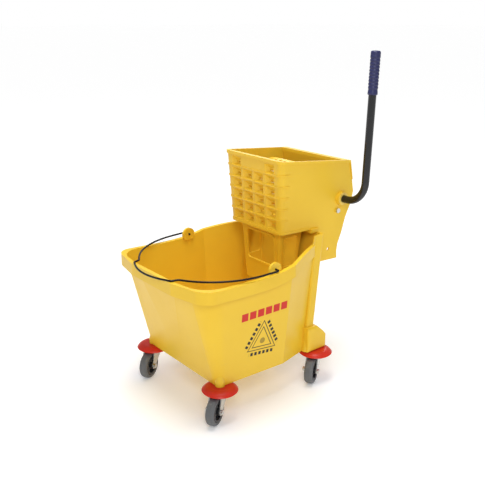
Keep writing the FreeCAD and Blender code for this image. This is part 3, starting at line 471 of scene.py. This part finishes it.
# %% Bucket finish
red_ink = (0.62, 0.018, 0.008, 1.0)
black_ink = (0.012, 0.010, 0.008, 1.0)
bucket_finish = finishes["yellow_plastic"].copy()
bucket_finish.name = "bucket_plastic"
tree = bucket_finish.node_tree
shader = tree.nodes["Principled BSDF"]
worn = shader.inputs["Base Color"].links[0].from_socket
printed = place_group(tree, panel, {})
with_red = mixed(tree, printed.outputs["Red"], worn, red_ink)
with_black = mixed(tree, printed.outputs["Black"], with_red, black_ink)
tree.links.new(with_black, shader.inputs["Base Color"])
dress(nodes["bucket_tub"].data, bucket_finish)
print("panel printed on the bucket")

# %% [markdown]
# ## Hand grip
#
# The grip is a soft sleeve pushed over the lever's end, with ten shallow ribs
# and a domed cap. Its ribs could be a bump in the material, but they show in
# its outline, so they are real shape: a profile of radius and height pairs is
# spun once about the lever's axis, closes on itself and is then subdivided.


# %% Spin a profile
def settled(name, bm, body, material_name):
    """A smooth-shaded piece from a finished bmesh, with its finish and body."""
    mesh = bpy.data.meshes.new(name)
    bm.to_mesh(mesh)
    bm.free()
    mesh.polygons.foreach_set("use_smooth", [True] * len(mesh.polygons))
    dress(mesh, finishes[material_name])
    piece = put(name, mesh)
    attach(piece, body)
    return piece


def spun(name, profile, steps, placement, body, material_name, closed=False):
    """A piece spun from (radius, height) pairs about Z, placed by a matrix and subdivided once."""
    bm = bmesh.new()
    points = [bm.verts.new((radius, 0.0, height)) for radius, height in profile]
    chain = list(zip(points, points[1:])) + ([(points[-1], points[0])] if closed else [])
    edges = [bm.edges.new(pair) for pair in chain]
    bmesh.ops.spin(bm, geom=points + edges, cent=(0, 0, 0), axis=(0, 0, 1), angle=math.tau,
                   steps=steps, use_merge=True)
    bmesh.ops.remove_doubles(bm, verts=bm.verts, dist=0.00001)
    bmesh.ops.recalc_face_normals(bm, faces=bm.faces)
    bmesh.ops.transform(bm, matrix=placement, verts=bm.verts)
    piece = settled(name, bm, body, material_name)
    smooth = piece.modifiers.new("subdivision", "SUBSURF")
    smooth.levels = 1
    smooth.render_levels = 1
    return piece


# %% Grip
shaft = Vector(joint_of["lever_pull"]["pos_m"])
lever_lean = math.radians(2.0)
lever_length = 0.406
grip_length = 0.112
groove, crest = 0.0122, 0.0134
rib_pitch = 0.0086
first_rib = 0.0135
outline = [(0.0106, 0.0), (0.0128, 0.0), (crest, 0.0012), (crest, 0.006)]
for rib in range(10):
    foot = first_rib + rib_pitch * rib
    outline += [(groove, foot), (groove, foot + 0.0014), (crest, foot + 0.0030), (crest, foot + 0.0070)]
cap = [(0.0130, -0.0115), (0.0132, -0.009), (0.0132, -0.004), (0.0118, -0.0012), (0.0085, 0.0),
       (0.004, 0.0001), (0.0, 0.0001)]
outline += [(radius, grip_length + height) for radius, height in cap]

grip_low, grip_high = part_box("lever_grip")
grip_x = (grip_low[0] + grip_high[0]) / 2
stand = (Matrix.Translation(shaft) @ Matrix.Rotation(-lever_lean, 4, "X")
         @ Matrix.Translation((grip_x, 0.0, lever_length - grip_length)))
grip = spun("hand_grip", outline, 32, stand, "lever", "blue_grip")
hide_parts("lever_grip")
print("hand grip", len(grip.data.polygons), "faces")

# %% [markdown]
# ## Tyres
#
# Each tyre is a grey rubber ring with rounded shoulders, a raised bead on each
# side and the fine line that the mould leaves round the middle of the tread. A
# torus would give the round shape but not the bead or the line, so half of the
# section is listed, mirrored across the tread and spun about the axle.

# %% Tyres
half_section = [(0.0272, 0.0118), (0.0300, 0.0121), (0.0326, 0.0113), (0.0338, 0.0119), (0.0352, 0.0110),
                (0.0372, 0.0084), (0.0379, 0.0056), (0.0380, 0.0008), (0.0377, 0.0004)]
tyre_section = ([(radius, -width) for radius, width in half_section]
                + [(radius, width) for radius, width in reversed(half_section)])
wheel_joints = [name for name in joint_of if name.startswith("wheel_spin_")]
for name in wheel_joints:
    joint = joint_of[name]
    corner = name.removeprefix("wheel_spin_")
    turn = Vector((0.0, 0.0, 1.0)).rotation_difference(Vector(joint["axis"])).to_matrix().to_4x4()
    tyre = spun("tyre_" + corner, tyre_section, 64, Matrix.Translation(joint["pos_m"]) @ turn,
                joint["child"], "grey_rubber", closed=True)
    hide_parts("caster_tyre_" + corner)
print(len(wheel_joints), "tyres spun")

# %% [markdown]
# ## Coil springs
#
# Two springs inside the wringer turn the lever back. The engineering model
# holds each one as a plain sleeve, but the real one is wire wound round the
# shaft. A curve with a round bevel could draw it. Spinning a small ring of wire
# section along the shaft, with a step for every part of a turn, winds a true
# helix in the same few lines as the other turned pieces.

# %% Coil springs
spring_length = 0.014
wire = 0.0012
inset = 0.0001
turns = 4
steps = 24 * turns
sleeve_low, sleeve_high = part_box("return_springs")
coil_radius = (sleeve_high[2] - sleeve_low[2]) / 2 - wire - inset
advance = (spring_length - 2 * wire) / steps
coils = bmesh.new()
for side in (-1, 1):
    ring = bmesh.ops.create_circle(coils, cap_ends=True, radius=wire, segments=8)["verts"]
    stand = (Matrix.Translation((side * (sleeve_high[0] - wire), shaft.y, shaft.z + coil_radius))
             @ Matrix.Rotation(math.pi / 2, 4, "X"))
    bmesh.ops.transform(coils, matrix=stand, verts=ring)
    section = list({edge for vert in ring for edge in vert.link_edges})
    faces = list({face for vert in ring for face in vert.link_faces})
    bmesh.ops.spin(coils, geom=ring + section + faces, cent=(0.0, shaft.y, shaft.z), axis=(1, 0, 0),
                   dvec=(-side * advance, 0.0, 0.0), angle=math.tau * turns, steps=steps, use_merge=False)
bmesh.ops.recalc_face_normals(coils, faces=coils.faces)
springs = settled("coil_springs", coils, "wringer", "zinc_steel")
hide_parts("return_springs")
print("coil springs", len(springs.data.polygons), "faces")
